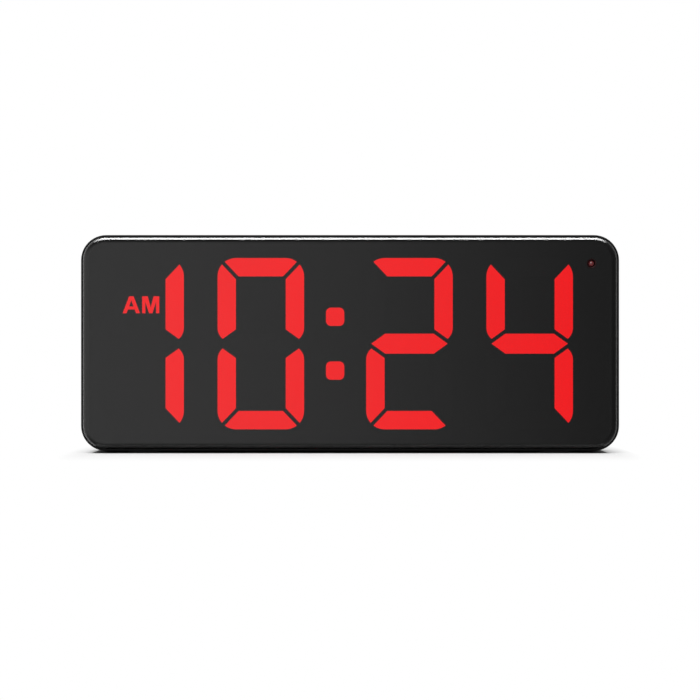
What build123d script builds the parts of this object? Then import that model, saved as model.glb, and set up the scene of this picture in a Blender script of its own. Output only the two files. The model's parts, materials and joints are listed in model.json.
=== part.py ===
"""Desk clock with a large red segment display behind a smoked front lens.

Millimetres. +X is the right of the clock seen from the front, the front faces -Y, +Z is up.
The origin is on the surface that the clock stands on, under the middle of the case.
Outlines are drawn on upright planes whose own origin is the middle of the case.
"""

from build123d import *
import math
import os

os.makedirs("parts", exist_ok=True)

# Case
case_depth = 30.0
case_margin_z = 9.95
corner_radius = 11.2
wall = 2.0
back_wall = 2.2
back_edge_radius = 3.5
rim_width = 0.8
rim_edge_cut = 0.25
cover_depth = 11.0
seam_width = 0.4
seam_depth = 0.3
tongue_height = 2.0
tongue_thickness = 0.9
tongue_gap = 0.15
piece_gap = 0.3
cut_overrun = 1.0

# Front lens
lens_thickness = 4.0
lens_proud = 3.2
lens_edge_radius = 3.0
lens_gap = 0.1
tape_thickness = 0.3
tape_width = 2.2
tape_inset = 0.4

# Display mask, ledge and light well block
mask_thickness = 0.3
mask_gap = 0.15
ledge_thickness = 1.6
ledge_width = 3.35
opening_margin = 1.3
opening_radius = 3.0
reflector_depth = 7.0
reflector_face = 1.4
well_wall = 0.95
well_ledge = 0.5
well_taper_angle = 9.0
skirt_wall = 1.2
diffuser_thickness = 2.0
diffuser_lap = 0.2
diffuser_gap = 0.1

# Digits
digit_width = 38.6
digit_height = 76.4
stroke = 8.2
middle_stroke = 8.9
segment_gap = 1.7
corner_cut_angle = 43.4
waist_cut_angle = 35.7
waist_cut_inset = 0.8
waist_radius = 6.4
waist_gap = 0.65
digit_pitch = 53.6
colon_pitch = 66.3
display_shift = 6.65
display_drop = 0.3
dot_size = 8.15
dot_radius = 2.2
dot_spacing = 24.0
meridiem_width = 18.4
meridiem_height = 9.8
meridiem_gap = 1.9
meridiem_rise = 17.4
meridiem_radius = 0.8

# Display board
board_thickness = 1.6
board_gap = 0.6
led_length = 3.5
led_width = 2.8
led_height = 1.9
led_spread_share = 0.22

# Light sensor
sensor_inset_z = 12.8
sensor_radius = 1.35
sensor_sink = 0.35
sensor_hole_radius = 1.5
sensor_sink_chamfer = 0.6
sensor_flange_radius = 2.0
sensor_flange_thickness = 0.8
sensor_land_radius = 2.4
sensor_web = 1.05
sensor_boss_gap = 0.55
sensor_lead_size = 0.5
sensor_lead_pitch = 1.6
spacer_radius = 2.0
spacer_bore = 1.3
spacer_gap = 0.1

# Case screws and board screws
case_screw_inset_x = 6.5
case_screw_inset_z = 9.65
boss_radius = 3.2
post_radius = 3.8
screw_radius = 1.25
screw_length = 12.0
screw_head_radius = 2.3
screw_head_height = 1.8
screw_gap = 0.05
screw_floor = 4.0
counterbore_gap = 0.3
cross_width = 0.7
cross_depth = 0.9
board_screw_inset_x = 7.5
board_screw_rise = 20.0
board_boss_radius = 3.0
board_screw_length = 6.0
board_screw_head_height = 1.4

# Rubber feet
foot_proud = 0.9
foot_sink = 0.6
foot_length = 14.0
foot_width = 5.0
foot_inset = 28.0
front_foot_setback = 4.4
rear_foot_setback = 4.7

# Fold-out stand
leg_width = 62.0
leg_margin = 19.15
leg_thickness = 3.0
leg_sink = 0.3
leg_corner_radius = 8.0
leg_gap = 0.5
hinge_inset = 19.15
hinge_pin_radius = 1.0
hinge_pin_gap = 0.05
hinge_pin_reach = 3.2
hinge_barrel_radius = 2.4
hinge_lug = 5.0
pocket_depth = 4.0
trough_gap = 0.5
tub_wall = 1.8
pad_height = 2.0
pad_width = 40.0
leg_recess_depth = 0.8
leg_border = 5.0
notch_radius = 10.0

# Buttons on the back
button_inset_x = 36.0
button_inset_z = 27.15
button_pitch = 14.0
button_radius = 3.6
button_gap = 0.2
button_sink = 0.1
button_flange_radius = 4.8
button_flange_thickness = 1.0
button_stem_radius = 1.8
button_stem_length = 4.1
button_travel = 0.5
button_edge_cut = 0.5
button_pocket_height = 13.0
button_pocket_depth = 0.8
button_pocket_margin = 8.0
guide_wall = 1.0
guide_height = 2.4
switch_size = 6.0
switch_height = 3.5
plunger_radius = 1.7
plunger_sunk = 1.2
plunger_gap = 0.1

# Power inlet
inlet_inset_x = 36.0
inlet_inset_z = 23.15
inlet_width = 8.94
inlet_height = 3.26
inlet_length = 7.35
inlet_wall = 0.3
inlet_sink = 0.8
inlet_gap = 0.2
insert_back = 1.6
contact_tongue_width = 6.7
contact_tongue_thickness = 0.7
contact_tongue_setback = 0.6
power_board_width = 15.0
power_board_thickness = 1.2
plug_recess_width = 13.4
plug_recess_height = 7.6
plug_recess_depth = 0.6
plug_recess_radius = 2.4

# Battery bay and its door
cell_radius = 10.0
cell_thickness = 3.2
cell_gap = 0.6
cell_edge_cut = 0.5
bay_inset = 38.0
bay_rise = 11.0
door_width = 30.0
door_height = 30.0
door_thickness = 2.0
door_gap = 0.3
door_radius = 1.5
door_barrel_radius = 1.5
door_pin_radius = 0.9
door_pin_gap = 0.05
door_pin_reach = 1.5
door_grip_width = 10.0
door_grip_height = 4.0
door_grip_depth = 1.4
door_rib_width = 1.0
door_rib_depth = 0.4
door_rib_setback = 7.0
door_rib_pitch = 2.6
door_rib_count = 4
contact_thickness = 0.5
contact_width = 4.0
contact_offset = 5.0
contact_gap = 0.2

# Keyhole slots for a wall
keyhole_spacing = 100.0
keyhole_drop = 13.0
keyhole_head_radius = 4.5
keyhole_slot_width = 4.6
keyhole_slot_length = 8.0
keyhole_frame = 1.4
keyhole_frame_height = 1.2

# Parts on the back of the board
buzzer_radius = 8.0
buzzer_height = 4.5
buzzer_port_radius = 1.2
sound_slot_length = 13.0
sound_slot_width = 1.2
sound_slot_pitch = 2.8
sound_slot_count = 5
controller_size = 10.0
controller_height = 1.4
controller_x = -12.0
controller_rise = -14.0
chip_leg_length = 1.0
chip_leg_width = 0.5
chip_leg_height = 0.5
chip_leg_pitch = 1.2
driver_length = 10.0
driver_width = 4.0
driver_height = 1.5
driver_x = 26.0
driver_pitch = 34.0
crystal_length = 11.0
crystal_width = 4.6
crystal_height = 3.4
crystal_x = 12.0
capacitor_radius = 3.0
capacitor_height = 6.0
capacitor_offset = 22.0
capacitor_pitch = 9.0

# Depths from the front of the lens to the back of the case
front_y = -case_depth / 2
back_y = case_depth / 2
rim_y = front_y + lens_proud
lens_back_y = front_y + lens_thickness
mask_front_y = lens_back_y + tape_thickness
mask_back_y = mask_front_y + mask_thickness
ledge_back_y = mask_back_y + ledge_thickness
board_front_y = mask_back_y + reflector_depth
board_back_y = board_front_y + board_thickness
parting_y = back_y - cover_depth
cover_floor_y = back_y - back_wall

# Places of the display, from which the case takes its width and height
half_digit = digit_width / 2
half_height = digit_height / 2
inner_half_digit = half_digit - stroke
inner_half_height = half_height - stroke
display_z = -display_drop
dots_x = -display_shift
hour_ones_x = dots_x - colon_pitch / 2
hour_tens_x = hour_ones_x - digit_pitch
minute_tens_x = dots_x + colon_pitch / 2
minute_ones_x = minute_tens_x + digit_pitch
meridiem_x = hour_tens_x + inner_half_digit - meridiem_gap - meridiem_width / 2
display_reach = max(meridiem_width / 2 - meridiem_x, minute_ones_x + half_digit)
opening_width = 2 * (display_reach + opening_margin)
sensor_x = opening_width / 2 + sensor_web + sensor_land_radius
case_screw_x = sensor_x + sensor_land_radius + sensor_boss_gap + boss_radius
case_width = 2 * (case_screw_x + case_screw_inset_x)
case_height = digit_height + 2 * case_margin_z

# Outlines that pieces share
middle_z = foot_proud + case_height / 2
inner_width = case_width - 2 * wall
inner_height = case_height - 2 * wall
inner_radius = corner_radius - wall
rebate_width = inner_width + 2 * (tongue_thickness + tongue_gap)
rebate_height = inner_height + 2 * (tongue_thickness + tongue_gap)
rebate_radius = inner_radius + tongue_thickness + tongue_gap
recess_width = case_width - 2 * rim_width
recess_height = case_height - 2 * rim_width
recess_radius = corner_radius - rim_width
lens_width = recess_width - 2 * lens_gap
lens_height = recess_height - 2 * lens_gap
lens_radius = recess_radius - lens_gap
opening_height = recess_height - 2 * ledge_width
sensor_z = case_height / 2 - sensor_inset_z
sensor_place = (sensor_x, sensor_z)
case_screw_z = case_height / 2 - case_screw_inset_z
case_screw_places = [(x, z) for x in (-case_screw_x, case_screw_x) for z in (-case_screw_z, case_screw_z)]
board_screw_x = case_width / 2 - board_screw_inset_x
board_screw_places = [
    (x, z) for x in (-board_screw_x, board_screw_x) for z in (-board_screw_rise, board_screw_rise)
]


def facing_front(y):
    """Upright plane at depth y, looking out of the front, with its origin at the case's middle."""
    return Plane(origin=(0, y, middle_z), x_dir=(1, 0, 0), z_dir=(0, -1, 0))


def across(x):
    """Upright plane square to the clock's width, with its origin at the case's middle."""
    return Plane(origin=(x, 0, middle_z), x_dir=(0, 1, 0), z_dir=(1, 0, 0))


def save(piece, name):
    """Label a finished piece and write it to its own file."""
    piece.part.label = name
    export_step(piece.part, "parts/" + name + ".step")


# Segment outlines, for a digit centred on its sketch's origin
corner_lean = math.radians(corner_cut_angle)
corner_run = (math.sin(corner_lean), math.cos(corner_lean))
half_gap = segment_gap / 2
corner_reach = math.sqrt(stroke**2 - half_gap**2)
waist_slope = math.tan(math.radians(waist_cut_angle))
waist_shift = half_gap / math.sin(math.radians(waist_cut_angle))
waist_start = half_digit - waist_cut_inset

upright_cut_u = inner_half_digit + half_gap * corner_run[1]
upright_cut_v = inner_half_height - half_gap * corner_run[0]
upright_top = (inner_half_digit, inner_half_height - half_gap / corner_run[0])
upright_tip = (upright_cut_u + corner_reach * corner_run[0], upright_cut_v + corner_reach * corner_run[1])
bar_cut_u = inner_half_digit - half_gap * corner_run[1]
bar_cut_v = inner_half_height + half_gap * corner_run[0]
bar_inner_end = inner_half_digit - half_gap / corner_run[1]
bar_tip = (bar_cut_u + corner_reach * corner_run[0], bar_cut_v + corner_reach * corner_run[1])

waist_zero = waist_start + waist_shift
waist_centre = (half_digit - waist_radius, waist_gap + waist_radius)
waist_offset = ((waist_zero - waist_centre[0]) * waist_slope - waist_centre[1]) / math.hypot(1, waist_slope)
waist_foot_u = waist_centre[0] + waist_offset * math.sin(math.radians(waist_cut_angle))
waist_along = math.sqrt(waist_radius**2 - waist_offset**2)
waist_point_u = waist_foot_u + waist_along * math.cos(math.radians(waist_cut_angle))
waist_point = (waist_point_u, (waist_zero - waist_point_u) * waist_slope)
waist_inner = (inner_half_digit, (waist_zero - inner_half_digit) * waist_slope)
middle_tip = waist_start - waist_shift
middle_shoulder = middle_tip - middle_stroke / 2 / waist_slope

with BuildSketch() as upright:
    with BuildLine():
        Line(upright_top, waist_inner)
        Line(waist_inner, waist_point)
        RadiusArc(waist_point, (half_digit, waist_centre[1]), -waist_radius)
        Line((half_digit, waist_centre[1]), (half_digit, inner_half_height))
        RadiusArc((half_digit, inner_half_height), upright_tip, -stroke)
        Line(upright_tip, upright_top)
    make_face()

with BuildSketch() as cross_bar:
    with BuildLine():
        Line((-bar_inner_end, inner_half_height), (bar_inner_end, inner_half_height))
        Line((bar_inner_end, inner_half_height), bar_tip)
        RadiusArc(bar_tip, (inner_half_digit, half_height), -stroke)
        Line((inner_half_digit, half_height), (-inner_half_digit, half_height))
        RadiusArc((-inner_half_digit, half_height), (-bar_tip[0], bar_tip[1]), -stroke)
        Line((-bar_tip[0], bar_tip[1]), (-bar_inner_end, inner_half_height))
    make_face()

with BuildSketch() as middle_bar:
    with BuildLine():
        Polyline(
            (-middle_tip, 0),
            (-middle_shoulder, middle_stroke / 2),
            (middle_shoulder, middle_stroke / 2),
            (middle_tip, 0),
            (middle_shoulder, -middle_stroke / 2),
            (-middle_shoulder, -middle_stroke / 2),
            close=True,
        )
    make_face()


def tangent_corner(centre, radius, start, end):
    """Where the tangents at the two ends of an arc meet."""
    run = start[0] + end[0] - 2 * centre[0]
    rise = start[1] + end[1] - 2 * centre[1]
    reach = 2 * radius**2 / (run**2 + rise**2)
    return (centre[0] + run * reach, centre[1] + rise * reach)


# Straight-edged outlines behind the windows: wells that cut the arcs short, and walls that pass outside them
side_foot = (half_digit, waist_centre[1])
side_head = (half_digit, inner_half_height)
side_corner = tangent_corner((inner_half_digit, inner_half_height), stroke, side_head, upright_tip)
waist_corner = tangent_corner(waist_centre, waist_radius, waist_point, side_foot)
bar_end = (inner_half_digit, half_height)
bar_corner = tangent_corner((inner_half_digit, inner_half_height), stroke, bar_tip, bar_end)
well_side_points = [upright_top, waist_inner, waist_point, side_foot, side_head, upright_tip]
wall_side_points = [upright_top, waist_inner, waist_point, waist_corner, side_corner, upright_tip]
well_bar_half = [(bar_inner_end, inner_half_height), bar_tip, bar_end]
wall_bar_half = [(bar_inner_end, inner_half_height), bar_tip, bar_corner]


def straight_outline(points):
    """A face with straight edges between its points."""
    with BuildSketch() as outline:
        with BuildLine():
            Polyline(*points, close=True)
        make_face()
    return outline.sketch


def straight_bar(half_points):
    """A level bar's face, from the points of its right half."""
    left_points = [(-u, v) for u, v in reversed(half_points)]
    return straight_outline(half_points + left_points)


def grown(shape, amount):
    """The same outline with every edge moved out by an amount, or in if it is negative."""
    with BuildSketch() as result:
        add(shape)
        offset(amount=amount, kind=Kind.INTERSECTION, mode=Mode.REPLACE)
    return result.sketch


def seven_segments(bar_outline, side_outline, amount):
    """Outlines of the segments a to g of one digit, grown by an amount."""
    bar = grown(bar_outline, amount) if amount else bar_outline
    side = grown(side_outline, amount) if amount else side_outline
    middle = grown(middle_bar.sketch, amount) if amount else middle_bar.sketch
    lower_side = mirror(side, about=Plane.XZ)
    return {
        "a": bar,
        "b": side,
        "c": lower_side,
        "d": mirror(bar, about=Plane.XZ),
        "e": mirror(lower_side, about=Plane.YZ),
        "f": mirror(side, about=Plane.YZ),
        "g": middle,
    }


def draw_segments(shapes, letters, x):
    """Add some segments of the digit at x to the sketch that is open."""
    for letter in letters:
        with Locations((x, display_z)):
            add(shapes[letter])


def draw_dots(amount):
    """Add the two square dots between the hours and the minutes."""
    with Locations((dots_x, display_z - dot_spacing / 2), (dots_x, display_z + dot_spacing / 2)):
        RectangleRounded(dot_size + 2 * amount, dot_size + 2 * amount, dot_radius + amount)


def draw_meridiem(amount):
    """Add the window of the morning sign beside the first digit."""
    with Locations((meridiem_x, display_z + meridiem_rise)):
        RectangleRounded(meridiem_width + 2 * amount, meridiem_height + 2 * amount, meridiem_radius + amount)


def draw_display(amount):
    """Add every window of the display, grown by an amount, to the sketch that is open."""
    for x, letters in digit_letters:
        draw_segments(segment_shapes[amount], letters, x)
    draw_dots(amount)
    draw_meridiem(amount)


def block_outlines(amount):
    """Straight-edged outlines of the block's walls or wells, grown by an amount, one for each window."""
    outlines = []
    for x, letters in digit_letters:
        outlines += [Pos(x, display_z) * segment_shapes[amount][letter] for letter in letters]
    dot_edge = dot_size + 2 * amount
    for side in (-1, 1):
        outlines.append(Pos(dots_x, display_z + side * dot_spacing / 2) * Rectangle(dot_edge, dot_edge))
    sign = Rectangle(meridiem_width + 2 * amount, meridiem_height + 2 * amount)
    outlines.append(Pos(meridiem_x, display_z + meridiem_rise) * sign)
    return outlines


digit_letters = [
    (hour_tens_x, "bc"),
    (hour_ones_x, "abcdefg"),
    (minute_tens_x, "abcdefg"),
    (minute_ones_x, "abcdefg"),
]
diffuser_pocket = diffuser_lap + diffuser_gap
window_growths = (0, diffuser_lap, diffuser_pocket)
segment_shapes = {amount: seven_segments(cross_bar.sketch, upright.sketch, amount) for amount in window_growths}
well_outlines = (straight_bar(well_bar_half), straight_outline(well_side_points))
segment_shapes[-well_ledge] = seven_segments(*well_outlines, -well_ledge)
wall_outlines = (straight_bar(wall_bar_half), straight_outline(wall_side_points))
segment_shapes[well_wall] = seven_segments(*wall_outlines, well_wall)

# Front lens: a smoked slab with a rounded front edge and a countersunk hole for the sensor
with BuildPart() as front_lens:
    with BuildSketch(facing_front(front_y)):
        RectangleRounded(lens_width, lens_height, lens_radius)
    extrude(amount=-lens_thickness)
    fillet(front_lens.faces().sort_by(Axis.Y)[0].edges(), lens_edge_radius)
    with BuildSketch(facing_front(front_y)):
        with Locations(sensor_place):
            Circle(sensor_hole_radius)
    extrude(amount=-lens_thickness, mode=Mode.SUBTRACT)
    hole_rims = front_lens.edges().filter_by(GeomType.CIRCLE).group_by(SortBy.RADIUS)[0]
    chamfer(hole_rims.sort_by(Axis.Y)[0], sensor_sink_chamfer)
save(front_lens, "front_lens")

# Foam tape that holds the lens on the mask's margin
with BuildPart() as lens_tape:
    with BuildSketch(facing_front(lens_back_y)):
        RectangleRounded(lens_width - 2 * tape_inset, lens_height - 2 * tape_inset, lens_radius - tape_inset)
        tape_inner = tape_inset + tape_width
        RectangleRounded(
            lens_width - 2 * tape_inner,
            lens_height - 2 * tape_inner,
            lens_radius - tape_inner,
            mode=Mode.SUBTRACT,
        )
    extrude(amount=-tape_thickness)
save(lens_tape, "lens_tape")

# Black mask whose windows give the segments their outlines
with BuildPart() as display_mask:
    with BuildSketch(facing_front(mask_front_y)):
        RectangleRounded(recess_width - 2 * mask_gap, recess_height - 2 * mask_gap, recess_radius - mask_gap)
    extrude(amount=-mask_thickness)
    with BuildSketch(facing_front(mask_front_y)):
        draw_display(0)
        with Locations(sensor_place):
            Circle(sensor_land_radius)
    extrude(amount=-mask_thickness, mode=Mode.SUBTRACT)
save(display_mask, "display_mask")

# Places of the feet
foot_x = case_width / 2 - foot_inset
front_foot_y = rim_y + front_foot_setback
rear_foot_y = parting_y + rear_foot_setback

# Front frame: the rim around the lens, the ledge behind it, and the bosses on its end lands
with BuildPart() as front_frame:
    with BuildSketch(facing_front(rim_y)):
        RectangleRounded(case_width, case_height, corner_radius)
    extrude(amount=-(parting_y - rim_y))
    chamfer(front_frame.faces().sort_by(Axis.Y)[0].outer_wire().edges(), rim_edge_cut)
    with BuildSketch(facing_front(rim_y)):
        RectangleRounded(recess_width, recess_height, recess_radius)
    extrude(amount=-(mask_back_y - rim_y), mode=Mode.SUBTRACT)
    with BuildSketch(facing_front(ledge_back_y)):
        RectangleRounded(inner_width, inner_height, inner_radius)
    extrude(amount=-(parting_y - ledge_back_y), mode=Mode.SUBTRACT)
    with BuildSketch(facing_front(mask_back_y)):
        RectangleRounded(opening_width, opening_height, opening_radius)
        with Locations(sensor_place):
            Circle(sensor_land_radius)
    extrude(amount=-ledge_thickness, mode=Mode.SUBTRACT)
    with BuildSketch(facing_front(parting_y)):
        RectangleRounded(case_width, case_height, corner_radius)
        RectangleRounded(
            case_width - 2 * seam_width,
            case_height - 2 * seam_width,
            corner_radius - seam_width,
            mode=Mode.SUBTRACT,
        )
    extrude(amount=seam_depth, mode=Mode.SUBTRACT)
    with BuildSketch(facing_front(parting_y)):
        RectangleRounded(
            inner_width + 2 * tongue_thickness,
            inner_height + 2 * tongue_thickness,
            inner_radius + tongue_thickness,
        )
        RectangleRounded(inner_width, inner_height, inner_radius, mode=Mode.SUBTRACT)
    extrude(amount=-tongue_height)
    with BuildSketch(facing_front(ledge_back_y)):
        with Locations(*case_screw_places):
            Circle(boss_radius)
    extrude(amount=-(parting_y - ledge_back_y))
    with BuildSketch(facing_front(ledge_back_y)):
        with Locations(*board_screw_places):
            Circle(board_boss_radius)
    extrude(amount=-(board_front_y - ledge_back_y))
    with BuildSketch(facing_front(parting_y)):
        with Locations(*case_screw_places):
            Circle(screw_radius + screw_gap)
    extrude(amount=screw_length - screw_floor + cut_overrun, mode=Mode.SUBTRACT)
    with BuildSketch(facing_front(board_front_y)):
        with Locations(*board_screw_places):
            Circle(screw_radius + screw_gap)
    extrude(amount=board_screw_length - board_thickness + piece_gap, mode=Mode.SUBTRACT)
    with BuildSketch(Plane.XY.offset(foot_proud)):
        with Locations((-foot_x, front_foot_y), (foot_x, front_foot_y)):
            SlotOverall(foot_length, foot_width)
    extrude(amount=foot_sink, mode=Mode.SUBTRACT)
save(front_frame, "front_frame")

# Light well block: a face plate, a skirt and one tapered well behind each window
well_walls = block_outlines(well_wall)
mouth_plane = facing_front(mask_back_y + diffuser_thickness)
wells = []
for outline in block_outlines(-well_ledge):
    well = extrude(mouth_plane * outline.face(), amount=-(reflector_depth - diffuser_thickness))
    well_sides = well.faces().filter_by(Axis.Y, reverse=True)
    wells.append(draft(well_sides, mouth_plane, -well_taper_angle))
with BuildPart() as reflector_block:
    reflector_width = opening_width - 2 * piece_gap
    reflector_height = opening_height - 2 * piece_gap
    reflector_radius = opening_radius - piece_gap
    with BuildSketch(facing_front(mask_back_y)):
        RectangleRounded(reflector_width, reflector_height, reflector_radius)
    extrude(amount=-reflector_face)
    with BuildSketch(facing_front(mask_back_y)):
        RectangleRounded(reflector_width, reflector_height, reflector_radius)
        RectangleRounded(
            reflector_width - 2 * skirt_wall,
            reflector_height - 2 * skirt_wall,
            reflector_radius - skirt_wall,
            mode=Mode.SUBTRACT,
        )
    extrude(amount=-reflector_depth)
    with BuildSketch(facing_front(mask_back_y)):
        add(well_walls)
    extrude(amount=-reflector_depth)
    with BuildSketch(facing_front(mask_back_y)):
        draw_display(diffuser_pocket)
    extrude(amount=-diffuser_thickness, mode=Mode.SUBTRACT)
    add(wells, mode=Mode.SUBTRACT)
save(reflector_block, "reflector_block")

# Translucent segments, the ones that are lit at 10:24 apart from the others
segment_groups = {
    "hour_tens_lit_segments": (hour_tens_x, "bc"),
    "hour_ones_lit_segments": (hour_ones_x, "abcdef"),
    "hour_ones_dark_segment": (hour_ones_x, "g"),
    "minute_tens_lit_segments": (minute_tens_x, "abdeg"),
    "minute_tens_dark_segments": (minute_tens_x, "cf"),
    "minute_ones_lit_segments": (minute_ones_x, "bcfg"),
    "minute_ones_dark_segments": (minute_ones_x, "ade"),
}
for name, (x, letters) in segment_groups.items():
    with BuildPart() as segments:
        with BuildSketch(facing_front(mask_back_y)):
            draw_segments(segment_shapes[diffuser_lap], letters, x)
        extrude(amount=-diffuser_thickness)
    save(segments, name)

with BuildPart() as colon_dots:
    with BuildSketch(facing_front(mask_back_y)):
        draw_dots(diffuser_lap)
    extrude(amount=-diffuser_thickness)
save(colon_dots, "colon_dots")

with BuildPart() as meridiem_window:
    with BuildSketch(facing_front(mask_back_y)):
        draw_meridiem(diffuser_lap)
    extrude(amount=-diffuser_thickness)
save(meridiem_window, "meridiem_window")

# Display board: notched at its corners for the case bosses, with holes for its own screws
board_width = inner_width - 2 * board_gap
board_height = inner_height - 2 * board_gap
notch_edge = boss_radius + board_gap
notch_size_x = board_width / 2 - (case_screw_x - notch_edge)
notch_size_z = board_height / 2 - (case_screw_z - notch_edge)
with BuildPart() as display_board:
    with BuildSketch(facing_front(board_front_y)):
        Rectangle(board_width, board_height)
        with GridLocations(board_width - notch_size_x, board_height - notch_size_z, 2, 2):
            Rectangle(notch_size_x, notch_size_z, mode=Mode.SUBTRACT)
        with Locations(*board_screw_places):
            Circle(screw_radius + screw_gap, mode=Mode.SUBTRACT)
    extrude(amount=-board_thickness)
save(display_board, "display_board")

# Two light emitting chips in each bar's well, one in each dot, two behind the morning sign
bar_spread = 2 * inner_half_digit * led_spread_share
upright_middle_u = half_digit - stroke / 2
upright_middle_v = (inner_half_height + waist_gap) / 2
upright_spread = inner_half_height * led_spread_share
bar_middle_v = half_height - stroke / 2
upright_led_rows = (upright_middle_v - upright_spread, upright_middle_v + upright_spread)
led_rows = {
    "a": [(-bar_spread, bar_middle_v), (bar_spread, bar_middle_v)],
    "b": [(upright_middle_u, v) for v in upright_led_rows],
    "g": [(-bar_spread, 0), (bar_spread, 0)],
}
led_rows["c"] = [(u, -v) for u, v in led_rows["b"]]
led_rows["d"] = [(u, -v) for u, v in led_rows["a"]]
led_rows["e"] = [(-u, -v) for u, v in led_rows["b"]]
led_rows["f"] = [(-u, v) for u, v in led_rows["b"]]
flat_leds = [(dots_x, display_z - dot_spacing / 2), (dots_x, display_z + dot_spacing / 2)]
for side in (-1, 1):
    flat_leds.append((meridiem_x + side * meridiem_width * led_spread_share, display_z + meridiem_rise))
upright_leds = []
for digit_x, letters in digit_letters:
    for letter in letters:
        places = flat_leds if letter in "adg" else upright_leds
        places.extend((digit_x + u, display_z + v) for u, v in led_rows[letter])
with BuildPart() as segment_leds:
    with BuildSketch(facing_front(board_front_y)):
        with Locations(*flat_leds):
            Rectangle(led_length, led_width)
        with Locations(*upright_leds):
            Rectangle(led_width, led_length)
    extrude(amount=led_height)
save(segment_leds, "segment_leds")

# Light sensor behind the small hole in the lens, on two leads, with a sleeve round them
sensor_tip_y = front_y + sensor_sink
flange_front_y = lens_back_y + tape_thickness
flange_back_y = flange_front_y + sensor_flange_thickness
with BuildPart() as light_sensor:
    with BuildSketch(facing_front(flange_back_y)):
        with Locations(sensor_place):
            Circle(sensor_flange_radius)
    extrude(amount=sensor_flange_thickness)
    with BuildSketch(facing_front(flange_front_y)):
        with Locations(sensor_place):
            Circle(sensor_radius)
    extrude(amount=flange_front_y - sensor_tip_y - sensor_radius)
    with Locations((sensor_x, sensor_tip_y + sensor_radius, middle_z + sensor_z)):
        Sphere(sensor_radius)
    with BuildSketch(facing_front(board_front_y)):
        with Locations(sensor_place):
            with GridLocations(sensor_lead_pitch, 0, 2, 1):
                Rectangle(sensor_lead_size, sensor_lead_size)
    extrude(amount=board_front_y - flange_back_y)
save(light_sensor, "light_sensor")

with BuildPart() as sensor_spacer:
    with BuildSketch(facing_front(board_front_y)):
        with Locations(sensor_place):
            Circle(spacer_radius)
            Circle(spacer_bore, mode=Mode.SUBTRACT)
    extrude(amount=board_front_y - flange_back_y)
save(sensor_spacer, "sensor_spacer")


def draw_cross():
    """Add the two bars of a screw's cross recess to the sketch that is open."""
    Rectangle(2 * screw_radius, cross_width)
    Rectangle(cross_width, 2 * screw_radius)


def screw_set(places, seat_y, length, head_height):
    """Screws driven from the back, whose heads sit on seat_y."""
    with BuildPart() as screws:
        with BuildSketch(facing_front(seat_y)):
            with Locations(*places):
                Circle(screw_head_radius)
        extrude(amount=-head_height)
        with BuildSketch(facing_front(seat_y)):
            with Locations(*places):
                Circle(screw_radius)
        extrude(amount=length)
        with BuildSketch(facing_front(seat_y + head_height)):
            with Locations(*places):
                draw_cross()
        extrude(amount=cross_depth, mode=Mode.SUBTRACT)
    return screws


case_screw_seat_y = parting_y + screw_floor
case_screws = screw_set(case_screw_places, case_screw_seat_y, screw_length, screw_head_height)
save(case_screws, "case_screws")
board_screws = screw_set(board_screw_places, board_back_y, board_screw_length, board_screw_head_height)
save(board_screws, "board_screws")

# Four rubber feet sunk in the bottom wall
with BuildPart() as feet:
    with BuildSketch():
        with Locations(*[(x, y) for x in (-foot_x, foot_x) for y in (front_foot_y, rear_foot_y)]):
            SlotOverall(foot_length, foot_width)
    extrude(amount=foot_proud + foot_sink)
save(feet, "feet")

# Places on the back cover
button_x = -case_width / 2 + button_inset_x
button_z = case_height / 2 - button_inset_z
button_places = [(button_x + step * button_pitch, button_z) for step in (-1, 0, 1)]
hinge_y = back_y - hinge_barrel_radius - leg_sink
hinge_z = case_height / 2 - hinge_inset
leg_outer_y = back_y - leg_sink
leg_inner_y = leg_outer_y - leg_thickness
leg_bottom = -case_height / 2 + leg_margin
leg_length = hinge_z - leg_bottom
pocket_top = hinge_z + hinge_barrel_radius + trough_gap
pocket_bottom = leg_bottom - leg_gap
pocket_width = leg_width + 2 * leg_gap
pocket_floor_y = back_y - pocket_depth
pocket_radius = leg_corner_radius + leg_gap
panel_width = leg_width - 2 * leg_border
panel_top = hinge_z - hinge_barrel_radius - leg_border
panel_bottom = leg_bottom + pad_height + leg_border
trough_floor_y = hinge_y - hinge_barrel_radius - trough_gap
trough_height = 2 * (hinge_barrel_radius + trough_gap)
bay_x = case_width / 2 - bay_inset
door_place = (bay_x, bay_rise)
door_top = bay_rise + door_height / 2
door_bottom = bay_rise - door_height / 2
door_hinge_z = door_bottom + door_barrel_radius
door_inner_y = back_y - door_thickness
door_hinge_y = back_y - door_barrel_radius
door_seat_y = door_inner_y - door_gap
cell_front_y = door_inner_y - cell_gap - cell_thickness
bay_floor_y = cell_front_y - contact_thickness
bay_radius = cell_radius + cell_gap
negative_place = (bay_x, bay_rise - contact_offset)
positive_place = (bay_x + cell_radius + contact_gap + contact_thickness / 2, bay_rise)
inlet_x = -case_width / 2 + inlet_inset_x
inlet_z = -case_height / 2 + inlet_inset_z
inlet_mouth_y = back_y - inlet_sink
buzzer_place = (bay_x, inlet_z)
keyhole_z = hinge_z - keyhole_drop
keyhole_places = [(-keyhole_spacing / 2, keyhole_z), (keyhole_spacing / 2, keyhole_z)]
keyhole_slot_z = keyhole_z + keyhole_slot_length / 2
keyhole_length = keyhole_head_radius + keyhole_slot_length + keyhole_slot_width / 2
keyhole_frame_rise = keyhole_length / 2 - keyhole_head_radius
guide_reach = button_flange_radius + button_gap + guide_wall


def draw_keyholes():
    """Add both keyholes to the sketch that is open."""
    for x, z in keyhole_places:
        with Locations((x, z)):
            Circle(keyhole_head_radius)
        with Locations((x, keyhole_slot_z)):
            Rectangle(keyhole_slot_width, keyhole_slot_length)
        with Locations((x, z + keyhole_slot_length)):
            Circle(keyhole_slot_width / 2)


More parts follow.
